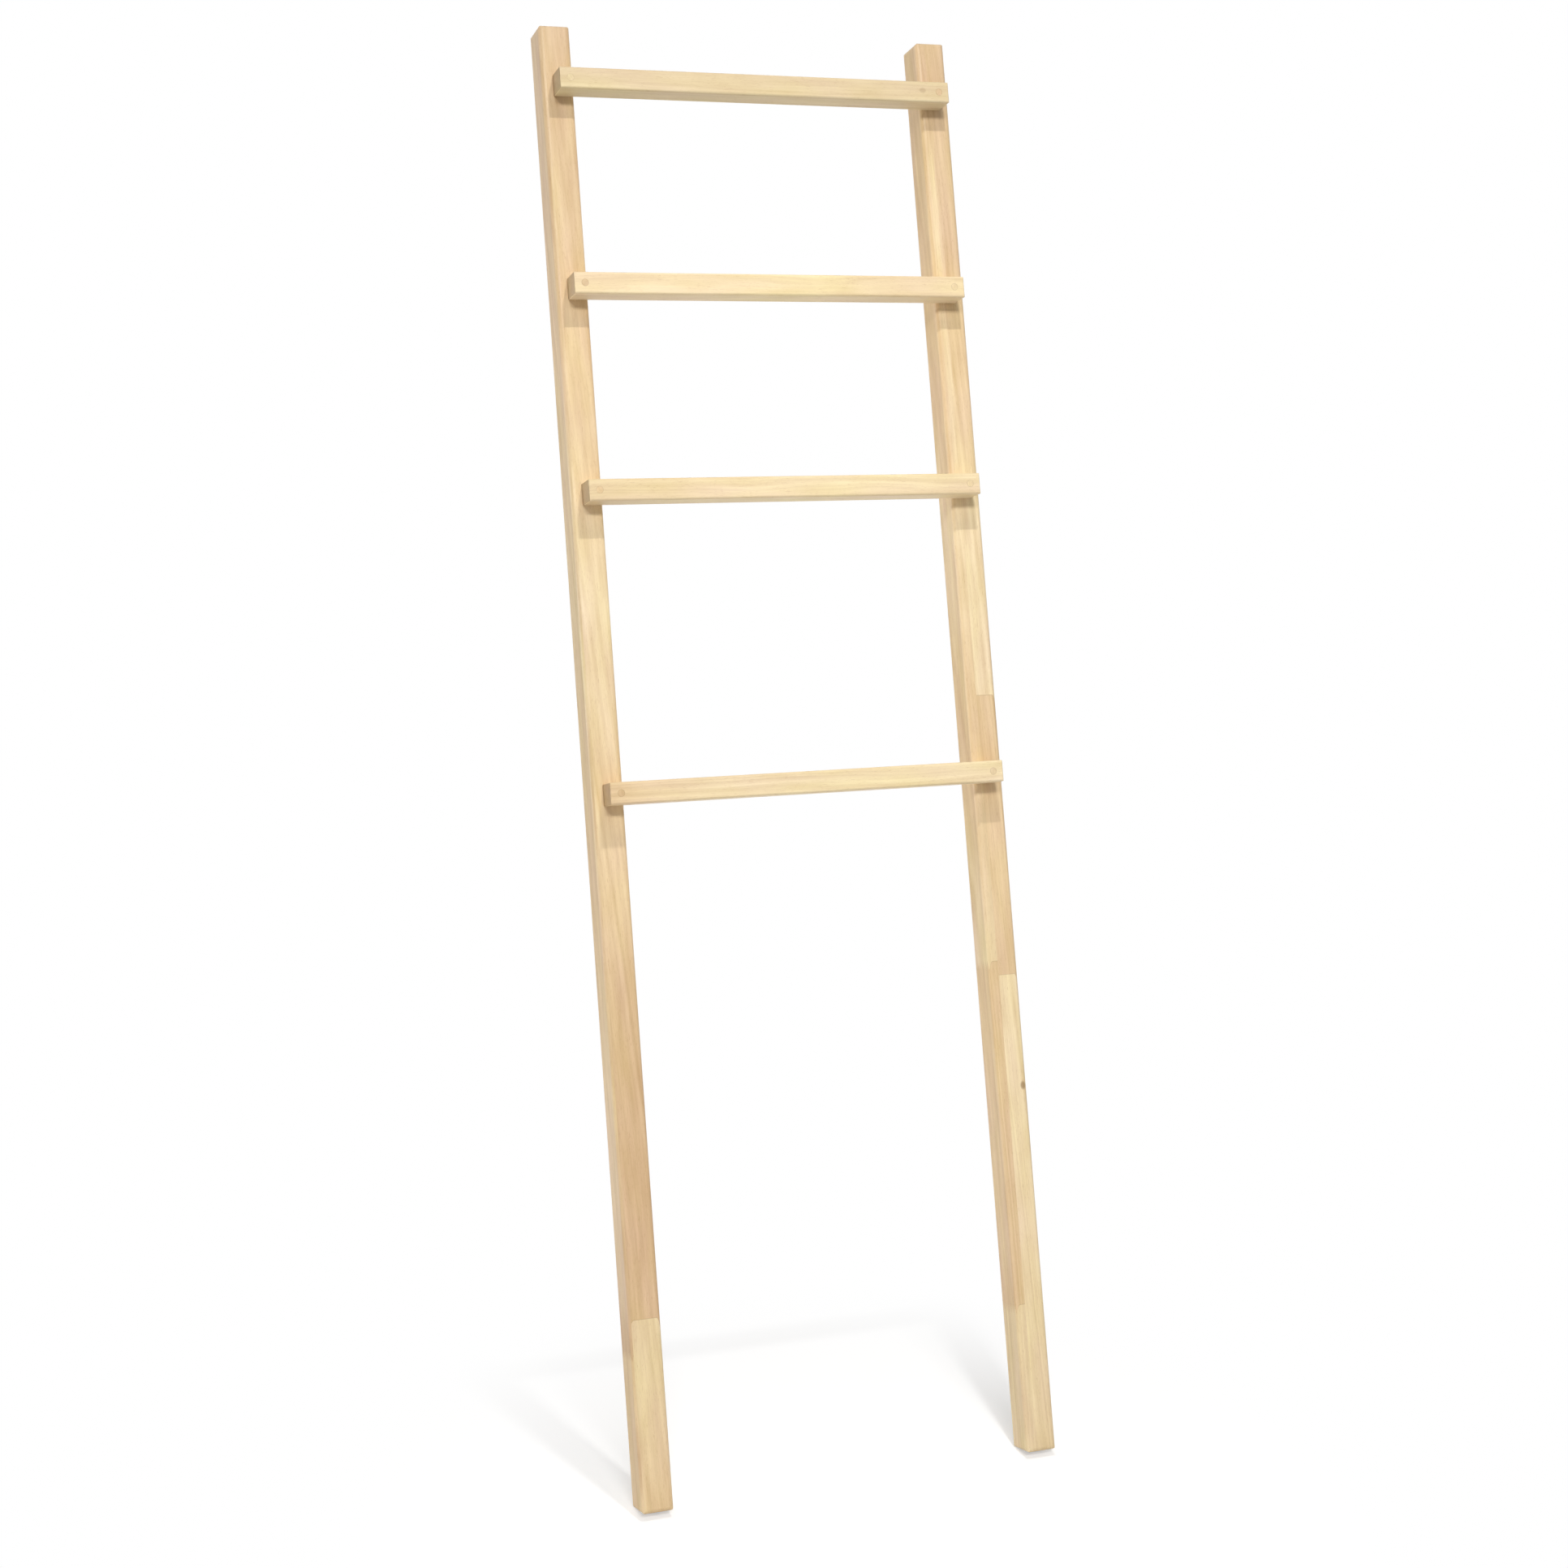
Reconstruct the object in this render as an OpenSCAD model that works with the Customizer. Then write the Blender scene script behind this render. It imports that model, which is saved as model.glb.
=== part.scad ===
// Towel ladder in rubberwood: two stiles, four rungs screwed across their fronts, and wooden plugs
// over the screws.
// Millimetres. +X is to the right seen from the front, +Z is up, and the ladder leans back
// towards +Y. The origin is on the floor, below the middle of the whole ladder.

/* [Ladder] */
// Width across both stiles
ladder_w = 480; // [380:5:700]
// Lean back from upright, in degrees
lean = 13; // [6:0.5:20]

/* [Stiles] */
// Length of a stile
stile_l = 1600; // [1300:10:1900]
// Width of a stile, seen from the front
stile_w = 35; // [30:1:50]
// Depth of a stile, front to back
stile_d = 40; // [34:1:60]
// Radius of a stile's long edges
stile_round = 5; // [1:0.5:8]
// Radius of the edges at a stile's sawn ends
stile_end_round = 5; // [1:0.5:8]

/* [Rungs] */
// Height of a rung, seen from the front
rung_h = 24; // [18:1:40]
// Depth of a rung, front to back
rung_d = 30; // [24:1:36]
// Radius of a rung's long edges
rung_round = 2.5; // [1:0.5:5]
// Radius of the edges at a rung's sawn ends
rung_end_round = 1.5; // [0.5:0.5:3]
// How far a rung stops short of each outer side of the ladder
rung_inset = 12; // [0:1:16]
// Clear height of the stiles above the top rung
top_clear = 56; // [30:1:120]
// Spacing of the three upper rungs
upper_pitch = 225; // [150:5:260]
// Drop from the third rung to the lowest one
lower_pitch = 325; // [200:5:420]

/* [Screws and plugs] */
// Distance from a rung's end to its screw
screw_inset = 12; // [8:0.5:14]
// Diameter over the thread
screw_d = 4; // [3:0.5:5]
// Length of a screw with its head
screw_l = 50; // [40:1:54]
// Diameter of the countersunk head
head_d = 7.5; // [6:0.5:7.5]
// Height of the straight rim of the head
head_rim = 0.4; // [0.2:0.1:0.8]
// Length of each slot of the cross recess
recess_l = 3.8; // [3:0.1:4.5]
// Width of each slot of the cross recess
recess_w = 0.9; // [0.6:0.1:1.2]
// Depth of the cross recess
recess_depth = 1.4; // [0.8:0.1:2]
// Length of the threaded part with its point
thread_l = 30; // [20:1:34]
// Rise of one turn of the thread
thread_pitch = 1.8; // [1.2:0.2:3]
// Diameter at the root of the thread
core_d = 2.8; // [1.8:0.1:2.8]
// Length of the point
point_l = 4; // [2:0.5:6]
// Diameter of a plug
plug_d = 8; // [8:0.5:12]
// Length of a plug, and the depth of its hole above the screw head
plug_l = 8; // [5:0.5:10]

/* [Clearances] */
// Gap around a plug in its hole
plug_fit = 0.05; // [0.02:0.01:0.2]
// Gap around the screw head in its countersink
head_fit = 0.1; // [0.05:0.05:0.3]
// Gap around the shank in the rung
shank_fit = 0.25; // [0.1:0.05:0.4]
// Gap around the thread in the stile
thread_fit = 0.05; // [0.02:0.01:0.2]
// Empty bore past the point of a screw
bore_spare = 2; // [0.5:0.5:4]

/* [Hidden] */
$fn = 48;

SIDES = ["left", "right"];
RUNGS = [1, 2, 3, 4];

// Before it leans, the ladder stands with its feet at z = 0, the fronts of its stiles, where the
// rungs are seated, at y = 0, and its back towards +Y
stile_x = (ladder_w - stile_w) / 2;
rung_l = ladder_w - 2 * rung_inset;
screw_x = rung_l / 2 - screw_inset;
rung_drops = [0, upper_pitch, 2 * upper_pitch, 2 * upper_pitch + lower_pitch];
function rung_z(rung) = stile_l - top_clear - rung_h / 2 - rung_drops[rung - 1];
function sign_x(side) = side == "left" ? -1 : 1;

// The screw head starts under the plug, and the point ends inside the stile
head_y = plug_l - rung_d;
bore_depth = head_y + screw_l + bore_spare;
head_cone = (head_d - screw_d) / 2;

// The leaning ladder rests on the rounded back edges of its feet, and its box runs in depth from
// the front edges of the feet to the back edges of the stiles' tops
lean_up = stile_end_round + (stile_d - stile_end_round) * sin(lean) - stile_end_round * cos(lean);
front_y = stile_end_round * (cos(lean) + sin(lean) - 1);
back_y = (stile_d - stile_end_round) * cos(lean) + (stile_l - stile_end_round) * sin(lean)
    + stile_end_round;
mid_y = (front_y + back_y) / 2;

// Extrusions that shape one block from different sides run past its faces by this much
over = 1;

// Puts pieces of the upright ladder into their leaning place
module stand() {
    translate([0, -mid_y, lean_up]) rotate([-lean, 0, 0]) children();
}

// Rectangle about the origin with round corners
module rounded(size, r) {
    square([size.x - 2 * r, size.y], center = true);
    square([size.x, size.y - 2 * r], center = true);
    for (x = [-1, 1], y = [-1, 1])
        translate([x * (size.x / 2 - r), y * (size.y / 2 - r)]) circle(r);
}

// Block about the origin. The radii round the edges that run along x, y and z
module eased_block(size, radii) {
    intersection() {
        rotate([90, 0, 90]) linear_extrude(size.x + 2 * over, center = true)
            rounded([size.y, size.z], radii.x);
        rotate([90, 0, 0]) linear_extrude(size.y + 2 * over, center = true)
            rounded([size.x, size.z], radii.y);
        linear_extrude(size.z + 2 * over, center = true)
            rounded([size.x, size.y], radii.z);
    }
}

// Cylinder about the y axis, from y down the bore
module bore(d, y, depth) {
    translate([0, y, 0]) rotate([-90, 0, 0]) cylinder(d = d, h = depth);
}

module stile(side) {
    color("burlywood") stand() difference() {
        translate([sign_x(side) * stile_x, stile_d / 2, stile_l / 2])
            eased_block(
                [stile_w, stile_d, stile_l],
                [stile_end_round, stile_end_round, stile_round]
            );
        for (rung = RUNGS)
            translate([sign_x(side) * screw_x, 0, rung_z(rung)])
                bore(screw_d + 2 * thread_fit, -over, bore_depth + over);
    }
}

module rung(rung) {
    color("wheat") stand() translate([0, 0, rung_z(rung)]) difference() {
        translate([0, -rung_d / 2, 0])
            eased_block([rung_l, rung_d, rung_h], [rung_round, rung_end_round, rung_end_round]);
        for (side = SIDES)
            translate([sign_x(side) * screw_x, 0, 0]) {
                bore(plug_d + 2 * plug_fit, -rung_d - over, plug_l + over);
                bore(screw_d + 2 * shank_fit, -rung_d, rung_d + over);
                translate([0, head_y, 0]) head_shape(head_fit);
            }
    }
}

// Countersunk head, point down the y axis, grown by a gap for its seat in the rung
module head_shape(gap) {
    rotate([-90, 0, 0]) rotate_extrude() polygon([
        [0, -gap],
        [head_d / 2 + gap, -gap],
        [head_d / 2 + gap, head_rim + gap],
        [screw_d / 2, head_rim + head_cone + 2 * gap],
        [0, head_rim + head_cone + 2 * gap]
    ]);
}

// Shank, and a thread drawn as rings of crests and roots, ending in the point
module shank_shape() {
    turns = floor((thread_l - point_l) / thread_pitch);
    thread_start = screw_l - thread_l;
    rotate([-90, 0, 0]) rotate_extrude() polygon(concat(
        [[0, head_rim], [screw_d / 2, head_rim + head_cone]],
        [for (turn = [0:turns - 1]) each [
            [screw_d / 2, thread_start + turn * thread_pitch],
            [core_d / 2, thread_start + (turn + 0.5) * thread_pitch]
        ]],
        [[core_d / 2, screw_l - point_l], [0, screw_l]]
    ));
}

module screw(rung, side) {
    color("silver") stand() translate([sign_x(side) * screw_x, head_y, rung_z(rung)])
        difference() {
            union() {
                head_shape(0);
                shank_shape();
            }
            for (turn = [0, 90]) rotate([0, turn, 0])
                cube([recess_w, 2 * recess_depth, recess_l], center = true);
        }
}

module plug(rung, side) {
    color("tan") stand() translate([sign_x(side) * screw_x, 0, rung_z(rung)])
        bore(plug_d, -rung_d, plug_l);
}

for (side = SIDES) {
    stile(side);
}
for (rung = RUNGS) {
    rung(rung);
}
for (rung = RUNGS, side = SIDES) {
    screw(rung, side);
    plug(rung, side);
}
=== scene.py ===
import math
import bpy
from mathutils import Matrix, Vector

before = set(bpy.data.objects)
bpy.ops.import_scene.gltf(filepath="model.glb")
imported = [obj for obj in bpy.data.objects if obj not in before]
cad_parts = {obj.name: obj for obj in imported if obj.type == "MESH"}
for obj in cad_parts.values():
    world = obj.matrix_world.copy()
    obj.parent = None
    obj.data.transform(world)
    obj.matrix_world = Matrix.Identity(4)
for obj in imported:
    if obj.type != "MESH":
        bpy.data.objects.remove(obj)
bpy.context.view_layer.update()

scene = bpy.context.scene

# ---- Camera ----
# The photograph is taken from the left of the ladder, between the heights of its second and third
# rungs, looking slightly down. The optical axis lies above the middle of the picture.
PHOTO_W = 1932
CAMERA_AT = Vector((-0.9382, -2.5646, 1.2110))
CAMERA_YAW = math.radians(19.86)
CAMERA_PITCH = math.radians(-8.66)
CAMERA_ROLL = math.radians(0.10)
FOCAL_PX = 3072.4
AXIS_ABOVE_PX = 60

forward = Vector((
    math.sin(CAMERA_YAW) * math.cos(CAMERA_PITCH),
    math.cos(CAMERA_YAW) * math.cos(CAMERA_PITCH),
    math.sin(CAMERA_PITCH),
))
level = Vector((math.cos(CAMERA_YAW), -math.sin(CAMERA_YAW), 0))
upright = level.cross(forward)
right = level * math.cos(CAMERA_ROLL) + upright * math.sin(CAMERA_ROLL)
up = upright * math.cos(CAMERA_ROLL) - level * math.sin(CAMERA_ROLL)

camera_data = bpy.data.cameras.new("camera")
camera_data.sensor_width = 36
camera_data.lens = camera_data.sensor_width * FOCAL_PX / PHOTO_W
camera_data.shift_y = -AXIS_ABOVE_PX / PHOTO_W
camera = bpy.data.objects.new("camera", camera_data)
axes = Matrix((right, up, -forward)).transposed()
camera.matrix_world = Matrix.Translation(CAMERA_AT) @ axes.to_4x4()
scene.collection.objects.link(camera)
scene.camera = camera


# ---- Studio ----
# A plain white studio. Soft light comes from all round and from a wide softbox in front, and a
# small lamp above the top rung draws the sharp lower shadow under each rung. The camera and the
# gloss see the room white.
def add_node(tree, kind, inputs=(), **settings):
    """A new shader node. An input is a value, or the node or socket that feeds it.

    Inputs without names go, in order, to the sockets that are in use with the node's settings.
    """
    node = tree.nodes.new("ShaderNode" + kind)
    for name, value in settings.items():
        setattr(node, name, value)
    sockets = node.inputs
    if not isinstance(inputs, dict):
        sockets = [socket for socket in node.inputs if socket.enabled]
        inputs = dict(enumerate(inputs))
    for name, value in inputs.items():
        if isinstance(value, bpy.types.Node):
            value = next(socket for socket in value.outputs if socket.enabled)
        if isinstance(value, bpy.types.NodeSocket):
            tree.links.new(value, sockets[name])
        else:
            sockets[name].default_value = value
    return node


def colour(code):
    """Linear colour of an sRGB hex code."""
    parts = [int(code[i:i + 2], 16) / 255 for i in (1, 3, 5)]
    return [p / 12.92 if p <= 0.04045 else ((p + 0.055) / 1.055) ** 2.4 for p in parts] + [1]


AMBIENT = 0.19
world = bpy.data.worlds.new("studio")
scene.world = world
world.use_nodes = True
tree = world.node_tree
tree.nodes.clear()
path = add_node(tree, "LightPath").outputs
seen = add_node(tree, "Math", (path["Is Camera Ray"], path["Is Glossy Ray"]), operation="MAXIMUM")
seen = add_node(tree, "Math", (seen, path["Is Transmission Ray"]), operation="MAXIMUM")
lit = add_node(tree, "Background", {"Color": colour("#FFFCF8"), "Strength": AMBIENT})
white = add_node(tree, "Background", {"Color": colour("#FFFFFF"), "Strength": 1.0})
room = add_node(tree, "MixShader", (seen, lit, white))
add_node(tree, "OutputWorld", (room,))


def area_light(name, at, target, size, watts, spread=180, gloss=True):
    """A lamp that faces its target. Without gloss, the coat of the wood doesn't mirror it."""
    light = bpy.data.lights.new(name, "AREA")
    light.shape, light.size, light.size_y = "RECTANGLE", size[0], size[1]
    light.energy, light.spread = watts, math.radians(spread)
    lamp = bpy.data.objects.new(name, light)
    lamp.location = at
    lamp.rotation_euler = (Vector(target) - Vector(at)).to_track_quat("-Z", "Y").to_euler()
    lamp.visible_camera = False
    lamp.visible_glossy = gloss
    scene.collection.objects.link(lamp)


area_light("softbox", at=(-1.6, -8.0, 6.3), target=(0, 0, 1.0), size=(3.6, 1.2), watts=460)
# Turned away from the top rung, so that its shadows are about as dark there as lower down
area_light("top_lamp", at=(0.02, -0.73, 2.60), target=(0.02, -1.23, 1.73), size=(0.09, 0.09),
           watts=22, gloss=False)
area_light("foot_fill", at=(-0.6, -2.2, 0.9), target=(0, -0.15, 0.1), size=(0.8, 0.5),
           watts=0.3, spread=50)
area_light("side_fill", at=(-4.2, 2.4, 0.5), target=(0, 0, 0.5), size=(2.4, 2.0), watts=105)
area_light("back_fill", at=(3.5, 4.5, 0.9), target=(0, 0, 0.8), size=(2.4, 1.4), watts=90,
           gloss=False)
area_light("floor_fill", at=(0, 1.0, 0.02), target=(0, 1.0, 1.0), size=(2.5, 1.4), watts=9)

# The floor is matt and pale, so that it takes soft shadows round the feet. The camera sees it fade
# to white between two distances from them.
FLOOR_SIDE = 30
FLOOR_Z = -0.0005
FEET_Y = -0.19
FADE_START, FADE_END = 0.15, 0.6
LIFT = 0.40
half = FLOOR_SIDE / 2
floor_mesh = bpy.data.meshes.new("floor")
corners = [(-half, -half), (half, -half), (half, half), (-half, half)]
floor_mesh.from_pydata([(x, y, FLOOR_Z) for x, y in corners], [], [(0, 1, 2, 3)])
floor = bpy.data.objects.new("floor", floor_mesh)
scene.collection.objects.link(floor)


def new_material(name):
    material = bpy.data.materials.new(name)
    material.use_nodes = True
    material.node_tree.nodes.clear()
    return material


floor_material = new_material("matt_pale_floor")
tree = floor_material.node_tree
place = add_node(tree, "TexCoord").outputs["Object"]
away = add_node(tree, "VectorMath", (place, (0, FEET_Y, 0)), operation="DISTANCE")
fade = add_node(tree, "MapRange", {
    "Value": away, "From Min": FADE_START, "From Max": FADE_END}, interpolation_type="SMOOTHSTEP")
diffuse = add_node(tree, "BsdfDiffuse", {"Color": colour("#E7E7E7")})
lift = add_node(tree, "Emission", {"Color": colour("#FFFFFF"), "Strength": LIFT})
white = add_node(tree, "Emission", {"Color": colour("#FFFFFF"), "Strength": 1.0})
near = add_node(tree, "AddShader", (diffuse, lift))
shown = add_node(tree, "MixShader", (fade, near, white))
path = add_node(tree, "LightPath").outputs
whole = add_node(tree, "MixShader", (path["Is Camera Ray"], diffuse, shown))
add_node(tree, "OutputMaterial", (whole,))
floor_mesh.materials.append(floor_material)

scene.view_settings.view_transform = "Standard"

# ---- Stiles ----
# The two stiles are bars of rubberwood, glued up from finger-jointed blocks in two strips side by
# side, planed, rounded along all edges and clear-coated. They carry the rungs and lean back.
MM = 0.001
LEAN = math.radians(13)
LADDER_W = 480
STILE_W, STILE_D, STILE_L = 35, 40, 1600
STILE_END_ROUND = 5
STILE_X = (LADDER_W - STILE_W) / 2
LEAN_UP = (STILE_END_ROUND + (STILE_D - STILE_END_ROUND) * math.sin(LEAN)
           - STILE_END_ROUND * math.cos(LEAN))
FRONT_Y = STILE_END_ROUND * (math.cos(LEAN) + math.sin(LEAN) - 1)
BACK_Y = ((STILE_D - STILE_END_ROUND) * math.cos(LEAN)
          + (STILE_L - STILE_END_ROUND) * math.sin(LEAN) + STILE_END_ROUND)
MID_Y = (FRONT_Y + BACK_Y) / 2


def upright_mm(tree, x=0.0, y=0.0, z=0.0):
    """Millimetres in the upright ladder, from a point of it: z up the stile, front at y = 0."""
    turn = Matrix.Rotation(LEAN, 3, "X")
    shift = turn @ Vector((0, MID_Y, -LEAN_UP)) - Vector((x, y, z))
    place = add_node(tree, "TexCoord").outputs["Object"]
    mapped = add_node(tree, "Mapping", {
        "Vector": place, "Location": shift, "Rotation": (LEAN, 0, 0), "Scale": [1 / MM] * 3})
    return add_node(tree, "SeparateXYZ", (mapped,)).outputs


# Patterns in the wood: the size of their grains, two sizes across it and one along it, and their
# octaves. Rubberwood's pores are lines 0.2 mm wide and its fibres are finer still, so both are
# drawn coarser, or they wouldn't show.
WAVER = (40, 40, 190), 1
STREAKS = (3.4, 3.4, 240), 2
FIBRES = (0.5, 0.5, 28), 2
CLOUDS = (13, 13, 70), 2
WARMTH = (19, 19, 95), 1
PORES = (0.34, 0.34, 6.5), 1
PORE_PATCHES = (14, 14, 30), 1
# The growth rings are faint, about 2.4 mm apart and drawn out along the grain. The waver bends
# them and the other patterns by up to this much.
RINGS_PER_MM = 0.42
RING_STRETCH = (1, 1, 0.03)
BEND = (10, 7, 0)
# How much each pattern darkens or lightens the wood
RING_SHARE, STREAK_SHARE, FIBRE_SHARE, CLOUD_SHARE = 0.36, 0.22, 0.16, 0.40
# Gains on red, green and blue. A darker level cuts blue the most, so the dark grain is browner.
BASE_GAIN, LEVEL_GAIN, WARMTH_GAIN = (1, 0.96, 1.12), (0.75, 1.0, 1.4), (0, 0.08, -0.24)
PORE_GAIN, END_GRAIN_GAIN = (0.66, 0.52, 0.40), (0.62, 0.56, 0.50)
# Pores crowd in patches, and show where their noise passes from one level to the other
PORE_CROWDING, PORE_LEVELS = 0.16, (0.70, 0.80)
PORE_SHARE, PORE_DEPTH = 0.42, -0.7
KNOT_BROWN = "#8A6238"


def pattern(tree, place, grains):
    """Noise with grains of a size, in the unit of the coordinates."""
    size, octaves = grains
    scaled = add_node(tree, "VectorMath", (place, size), operation="DIVIDE")
    return add_node(tree, "TexNoise", {"Vector": scaled, "Scale": 1.0, "Detail": octaves})


# Planed rubberwood under a thin satin coat is a pale straw colour, with soft streaks, short brown
# pore lines and a low, broad sheen that the fibres break up.
def coated_rubberwood(tree, grain, tone, pith, end_mask=0.0, dark_mask=0.0, figure=1.0):
    """Finishes a material from millimetres with z along the grain, and the block's own tone."""
    waver = pattern(tree, grain, WAVER)
    bent = add_node(tree, "VectorMath", (waver, BEND, grain), operation="MULTIPLY_ADD")
    stretched = add_node(tree, "VectorMath", (bent, RING_STRETCH), operation="MULTIPLY")
    from_pith = add_node(tree, "VectorMath", (stretched, pith), operation="DISTANCE")
    rings = add_node(tree, "TexNoise", {
        "W": from_pith, "Scale": RINGS_PER_MM, "Detail": 2.5, "Roughness": 0.6},
        noise_dimensions="1D")
    streaks, fibres, clouds, pores = (
        pattern(tree, bent, grains) for grains in (STREAKS, FIBRES, CLOUDS, PORES))
    warmth, patches = (pattern(tree, grain, grains) for grains in (WARMTH, PORE_PATCHES))
    crowded = add_node(tree, "Math", (patches, PORE_CROWDING, pores), operation="MULTIPLY_ADD")
    pore_mask = add_node(tree, "MapRange", {
        "Value": crowded, "From Min": PORE_LEVELS[0], "From Max": PORE_LEVELS[1]},
        interpolation_type="SMOOTHSTEP")

    shares = ((rings, RING_SHARE * figure), (streaks, STREAK_SHARE), (fibres, FIBRE_SHARE),
              (clouds, CLOUD_SHARE * figure))
    level = -sum(share for grains, share in shares) / 2
    for grains, share in shares:
        level = add_node(tree, "Math", (grains, share, level), operation="MULTIPLY_ADD")
    gain = add_node(tree, "VectorMath", (level, LEVEL_GAIN, BASE_GAIN), operation="MULTIPLY_ADD")
    gain = add_node(tree, "VectorMath", (warmth, WARMTH_GAIN, gain), operation="MULTIPLY_ADD")
    body = add_node(tree, "VectorMath", (tone, gain), operation="MULTIPLY")
    pore_share = add_node(tree, "Math", (pore_mask, PORE_SHARE), operation="MULTIPLY")
    for mask, darker in ((pore_share, PORE_GAIN), (end_mask, END_GRAIN_GAIN)):
        dark = add_node(tree, "VectorMath", (body, darker), operation="MULTIPLY")
        body = add_node(tree, "Mix", (mask, body, dark), data_type="RGBA")
    body = add_node(tree, "Mix", (dark_mask, body, colour(KNOT_BROWN)), data_type="RGBA")

    relief = add_node(tree, "Math", (pore_mask, PORE_DEPTH, fibres), operation="MULTIPLY_ADD")
    bump = add_node(tree, "Bump", {"Height": relief, "Strength": 0.3, "Distance": 0.1 * MM})
    shader = add_node(tree, "BsdfPrincipled", {
        "Base Color": body,
        "Roughness": add_node(tree, "Math", (fibres, 0.16, 0.36), operation="MULTIPLY_ADD"),
        "Specular IOR Level": 0.3, "Normal": bump, "Coat Weight": 0.08, "Coat Roughness": 0.3})
    add_node(tree, "OutputMaterial", (shader,))


KNOT_SQUEEZE, KNOT_CORE = 0.7, 0.4


def knot(tree, across, along, at, radius, strength):
    """Mask of a small knot at a place across and along the grain, a little longer along it."""
    squeezed = add_node(tree, "Math", (along, KNOT_SQUEEZE), operation="MULTIPLY")
    spot = add_node(tree, "CombineXYZ", (across, squeezed))
    centre = (at[0], at[1] * KNOT_SQUEEZE, 0)
    away = add_node(tree, "VectorMath", (spot, centre), operation="DISTANCE")
    return add_node(tree, "MapRange", {
        "Value": away, "From Min": radius, "From Max": radius * KNOT_CORE, "To Max": strength},
        interpolation_type="SMOOTHSTEP")


TONES = {
    "cream": "#F4DEB4", "ivory": "#F2DBB1", "pale": "#EBD3A8", "straw": "#E8CB9F",
    "wheat": "#E1CCA4", "sand": "#E4C69B", "honey": "#DCBF97", "tan": "#D9B88E",
}


def tone_along(tree, place, length, stops):
    """Tone of the wood at a place along a piece, from stops of a place and a tone."""
    share = add_node(tree, "Math", (place, 1 / length), operation="MULTIPLY")
    node = add_node(tree, "ValToRGB", (share,))
    elements = node.color_ramp.elements
    while len(elements) < len(stops):
        elements.new(1.0)
    for index, (stop, name) in enumerate(stops):
        elements[index].position = stop / length
        elements[index].color = colour(TONES[name])
    return node


# Each strip of a stile is a list of blocks from its foot up, and each block is a list of heights
# and tones. The fingers between two blocks zigzag on the stile's sides only.
STILE_BLOCKS = {
    "left": (
        [[(0, "straw"), (160, "straw")],
         [(169, "tan"), (450, "sand"), (640, "straw"), (980, "pale"), (1250, "sand"),
          (1500, "honey")]],
        [[(0, "straw"), (160, "pale")],
         [(202, "tan"), (450, "tan"), (640, "straw"), (980, "ivory"), (1200, "straw"),
          (1500, "honey")]],
    ),
    "right": (
        [[(0, "pale"), (160, "pale")],
         [(163, "sand"), (540, "sand")],
         [(545, "pale"), (850, "straw"), (1030, "ivory"), (1180, "sand"), (1350, "straw"),
          (1500, "honey")]],
        [[(0, "pale"), (250, "ivory")],
         [(529, "straw"), (700, "straw"), (839, "sand")],
         [(845, "ivory"), (950, "cream"), (1060, "ivory"), (1200, "straw"), (1500, "honey")]],
    ),
}
STRIP_EDGE_X = {"left": -15, "right": -6.5}
# The pith, in the middle of a bar's growth rings, lies outside the bar. Its third number, along
# the grain, is scaled with the rings' stretch.
STILE_PITHS = {"left": (34, 46, 3), "right": (-42, 50, 9)}
FINGER_L, FINGER_PITCH = 10, 3.8
# Real glue lines are about 0.1 mm wide, too fine to show, and are drawn 0.6 mm wide. Sawn ends are
# darker than the faces, in a thin skin.
GLUE_REACH, GLUE_SHARE = 0.3, 0.3
END_SKIN = 0.4
# Grain coordinates jump by this much across and along from block to block, and the blocks of the
# right strip are counted on from a number past the left strip's
BLOCK_SHIFT = (23, 1480)
RIGHT_STRIP_FROM = 5


def strip_wood(tree, height, strip):
    """Tone, block number and glue lines up one strip of a stile."""
    tone = tone_along(tree, height, STILE_L, strip[0])
    number, glue = 0.0, 0.0
    for block in strip[1:]:
        foot = block[0][0]
        over = add_node(tree, "Math", (height, foot), operation="GREATER_THAN")
        block_tone = tone_along(tree, height, STILE_L, block)
        tone = add_node(tree, "Mix", (over, tone, block_tone), data_type="RGBA")
        number = add_node(tree, "Math", (over, number), operation="ADD")
        line = add_node(tree, "Math", (height, foot, GLUE_REACH), operation="COMPARE")
        glue = add_node(tree, "Math", (glue, line), operation="MAXIMUM")
    return tone, number, glue


# The right stile has a pale streak on its front, and a pin knot. The streak sways as it goes
# up, and fades out at its edges, at its ends and behind.
STREAK_X, STREAK_W, STREAK_Z = -9, 9, (1060, 1510)
STREAK_CORE, STREAK_SPREAD = 0.2, 0.6
STREAK_WANDER, STREAK_SWAY = ((1, 1, 90), 1), 8
STREAK_TAPER = 60
STREAK_FULL_Y, STREAK_GONE_Y = 6, 14
STREAK_STRENGTH = 0.6
PIN_KNOT = (12.5, 404), 4.2, 0.65


def band(tree, value, middle, gone, full, strength=1.0):
    """Mask that is full up to one distance from the middle, and gone at another."""
    aside = add_node(tree, "Math", (value, middle), operation="SUBTRACT")
    away = add_node(tree, "Math", (aside,), operation="ABSOLUTE")
    return add_node(tree, "MapRange", {
        "Value": away, "From Min": gone, "From Max": full, "To Max": strength},
        interpolation_type="SMOOTHSTEP")


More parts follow.
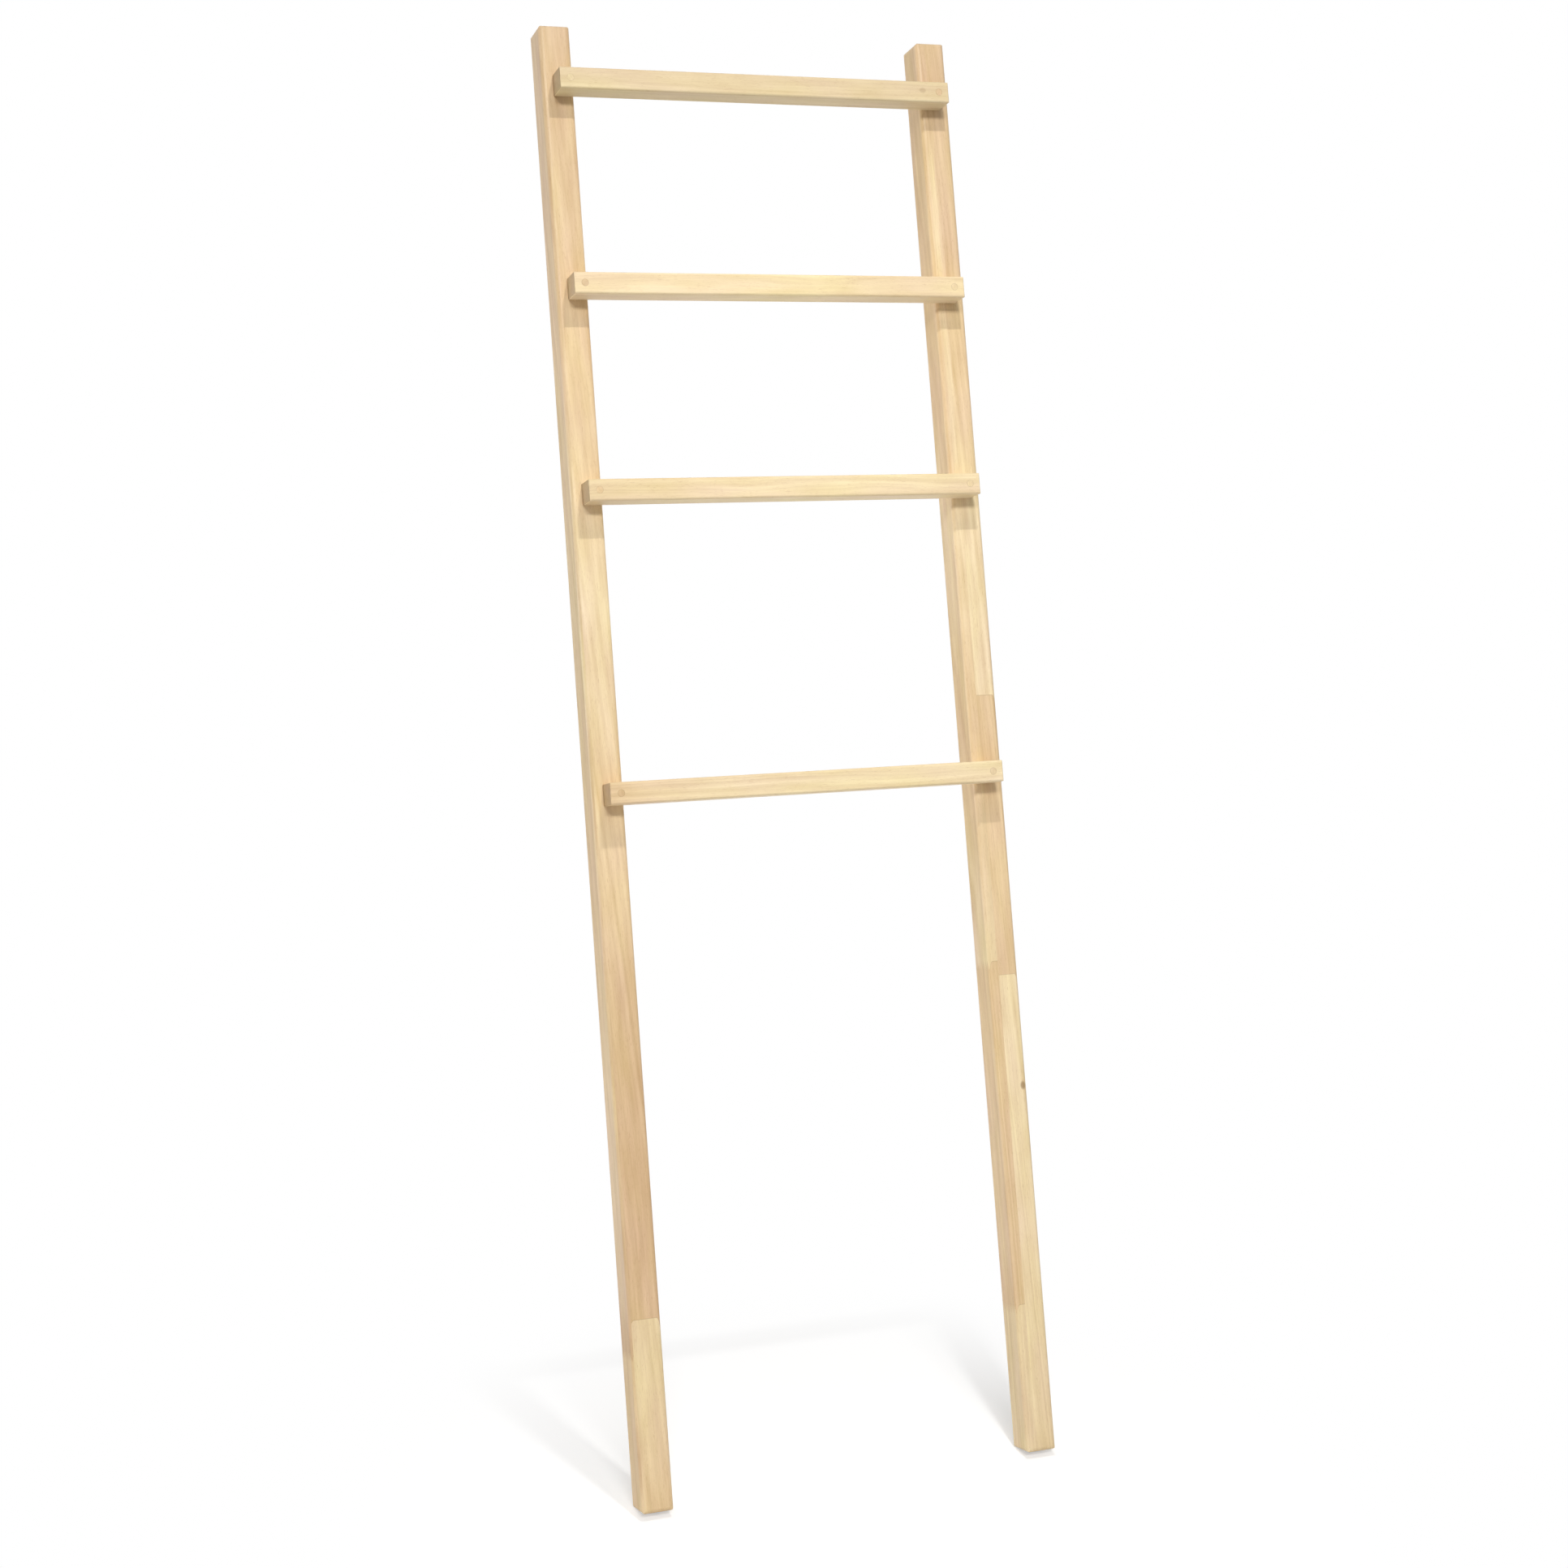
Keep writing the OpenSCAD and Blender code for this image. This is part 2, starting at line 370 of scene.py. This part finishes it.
def pale_front_streak(tree, x, y, z):
    """Mask of the streak."""
    wander = pattern(tree, add_node(tree, "CombineXYZ", {"Z": z}), STREAK_WANDER)
    swayed = add_node(tree, "Math", (wander, -STREAK_SWAY, x), operation="MULTIPLY_ADD")
    middle_x, middle_z = STREAK_X - STREAK_SWAY / 2, sum(STREAK_Z) / 2
    reach = STREAK_Z[1] - middle_z
    width = band(tree, swayed, middle_x, STREAK_W * STREAK_SPREAD, STREAK_W * STREAK_CORE)
    run = band(tree, z, middle_z, reach, reach - STREAK_TAPER)
    depth = band(tree, y, 0.0, STREAK_GONE_Y, STREAK_FULL_Y, STREAK_STRENGTH)
    streak = add_node(tree, "Math", (width, run), operation="MULTIPLY")
    return add_node(tree, "Math", (streak, depth), operation="MULTIPLY")


def dress(node, material):
    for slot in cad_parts[node].material_slots:
        slot.material = material


for side, sign in (("left", -1), ("right", 1)):
    material = new_material("coated_rubberwood_%s_stile" % side)
    tree = material.node_tree
    x, y, z = upright_mm(tree, x=sign * STILE_X)
    wave = add_node(tree, "Math", (y, FINGER_PITCH / 2), operation="PINGPONG")
    slope = FINGER_L / (FINGER_PITCH / 2)
    height = add_node(tree, "Math", (wave, slope, z), operation="MULTIPLY_ADD")
    left_strip, right_strip = (strip_wood(tree, height, strip) for strip in STILE_BLOCKS[side])
    in_right = add_node(tree, "Math", (x, STRIP_EDGE_X[side]), operation="GREATER_THAN")
    tone, number, glue = (
        add_node(tree, "Mix", (in_right, left_value, right_value), data_type=data_type)
        for left_value, right_value, data_type in zip(
            left_strip, right_strip, ("RGBA", "FLOAT", "FLOAT"))
    )
    number = add_node(tree, "Math", (in_right, RIGHT_STRIP_FROM, number), operation="MULTIPLY_ADD")
    dark = add_node(tree, "Math", (glue, GLUE_SHARE), operation="MULTIPLY")
    if side == "right":
        # A pale cream streak down the front of the stile, from about 1060 to 1510 mm up
        streak = pale_front_streak(tree, x, y, z)
        tone = add_node(tree, "Mix", (streak, tone, colour(TONES["cream"])), data_type="RGBA")
        dark = add_node(tree, "Math", (dark, knot(tree, x, z, *PIN_KNOT)), operation="MAXIMUM")
    across = add_node(tree, "Math", (number, BLOCK_SHIFT[0], x), operation="MULTIPLY_ADD")
    along = add_node(tree, "Math", (number, BLOCK_SHIFT[1], z), operation="MULTIPLY_ADD")
    grain = add_node(tree, "CombineXYZ", (across, y, along))
    from_middle = add_node(tree, "Math", (z, STILE_L / 2), operation="SUBTRACT")
    away = add_node(tree, "Math", (from_middle,), operation="ABSOLUTE")
    end_mask = add_node(tree, "Math", (away, STILE_L / 2 - END_SKIN), operation="GREATER_THAN")
    coated_rubberwood(tree, grain, tone, STILE_PITHS[side], end_mask, dark)
    dress(side + "_stile", material)

# ---- Rungs ----
# The four rungs are planed bars of the same clear-coated rubberwood, mostly paler than the stiles.
# Each is glued across the fronts of both stiles and held by a screw at each end.
RUNG_D, RUNG_H = 30, 24
RUNG_INSET = 12
RUNG_L = LADDER_W - 2 * RUNG_INSET
TOP_CLEAR = 56
RUNG_DROPS = (0, 225, 450, 775)
RUNG_Z = [STILE_L - TOP_CLEAR - RUNG_H / 2 - drop for drop in RUNG_DROPS]
# Places and tones from the left end to the right end, for the top rung first
RUNG_TONES = [
    [(0, "wheat"), (450, "wheat")],
    [(0, "ivory"), (90, "cream"), (280, "cream"), (370, "pale"), (450, "ivory")],
    [(0, "pale"), (110, "ivory"), (250, "cream"), (450, "cream")],
    [(0, "straw"), (100, "ivory"), (200, "cream"), (450, "cream")],
]
RUNG_PITHS = [(-38, 8, 51), (-38, -1, 102), (-38, -10, 153), (-38, -19, 204)]
RUNG_SHIFT = 1700
RUNG_FIGURE = 0.7
TOP_RUNG_KNOT = (1.2, RUNG_L / 2 - 32), 3.8, 0.26
for number, middle_z, stops, pith in zip(range(1, 5), RUNG_Z, RUNG_TONES, RUNG_PITHS):
    material = new_material("coated_rubberwood_rung_%d" % number)
    tree = material.node_tree
    x, y, z = upright_mm(tree, y=-RUNG_D / 2, z=middle_z)
    from_end = add_node(tree, "Math", (x, RUNG_L / 2), operation="ADD")
    tone = tone_along(tree, from_end, RUNG_L, stops)
    away = add_node(tree, "Math", (x,), operation="ABSOLUTE")
    end_mask = add_node(tree, "Math", (away, RUNG_L / 2 - END_SKIN), operation="GREATER_THAN")
    dark = knot(tree, z, x, *TOP_RUNG_KNOT) if number == 1 else 0.0
    along = add_node(tree, "Math", (x, RUNG_SHIFT * number), operation="ADD")
    grain = add_node(tree, "CombineXYZ", (y, z, along))
    coated_rubberwood(tree, grain, tone, pith, end_mask, dark, RUNG_FIGURE)
    dress("rung_%d" % number, material)

# ---- Plugs ----
# Each screw is hidden by a short round plug of the same wood, glued in and sanded flush. Its front
# is end grain, a touch darker than the rung. The brown ring of glue round it is about 0.1 mm wide,
# too fine to show, and is drawn 0.5 mm wide.
SCREW_INSET = 12
PLUG_X = RUNG_L / 2 - SCREW_INSET
PLUG_TONES = {
    "left": ("wheat", "honey", "straw", "tan"), "right": ("honey", "pale", "ivory", "pale"),
}
PLUG_GLUE_FROM, PLUG_GLUE_TO, PLUG_GLUE_SHARE = 3.5, 3.95, 0.35
PLUG_SHIFT = 130
PLUG_PITHS = [(20, 9, 4), (20, 9, 8), (20, 9, 12), (20, 9, 16)]
PLUG_FIGURE = 0.8
for side, sign in (("left", -1), ("right", 1)):
    for number, name in enumerate(PLUG_TONES[side], start=1):
        plug = "rung_%d_%s_plug" % (number, side)
        material = new_material("coated_rubberwood_" + plug)
        tree = material.node_tree
        x, y, z = upright_mm(tree, x=sign * PLUG_X, z=RUNG_Z[number - 1])
        spot = add_node(tree, "CombineXYZ", {"X": x, "Z": z})
        from_axis = add_node(tree, "VectorMath", (spot,), operation="LENGTH")
        ring = add_node(tree, "MapRange", {
            "Value": from_axis, "From Min": PLUG_GLUE_FROM, "From Max": PLUG_GLUE_TO,
            "To Max": PLUG_GLUE_SHARE}, interpolation_type="SMOOTHSTEP")
        along = add_node(tree, "Math", (y, PLUG_SHIFT * number * sign), operation="ADD")
        grain = add_node(tree, "CombineXYZ", (x, z, along))
        coated_rubberwood(tree, grain, colour(TONES[name])[:3], PLUG_PITHS[number - 1],
                          dark_mask=ring, figure=PLUG_FIGURE)
        dress(plug, material)

# ---- Screws ----
# Eight countersunk wood screws of steel hold the rungs to the stiles, sealed under the plugs. Their
# bright zinc plate is a bluish silver with spots that are a little duller. Real spots are well
# under 1 mm, too fine to show, so they are drawn 1.5 mm wide.
PLATE_SPOTS = (1.5 * MM, 1.5 * MM, 1.5 * MM), 3
material = new_material("zinc_plated_steel")
tree = material.node_tree
spots = pattern(tree, add_node(tree, "TexCoord").outputs["Object"], PLATE_SPOTS)
plating = add_node(tree, "Mix", (spots, colour("#A9ACAE"), colour("#E2E3E1")), data_type="RGBA")
shader = add_node(tree, "BsdfPrincipled", {
    "Base Color": plating, "Metallic": 1.0,
    "Roughness": add_node(tree, "Math", (spots, 0.2, 0.22), operation="MULTIPLY_ADD")})
add_node(tree, "OutputMaterial", (shader,))
for number in range(1, 5):
    for side in ("left", "right"):
        dress("rung_%d_%s_screw" % (number, side), material)
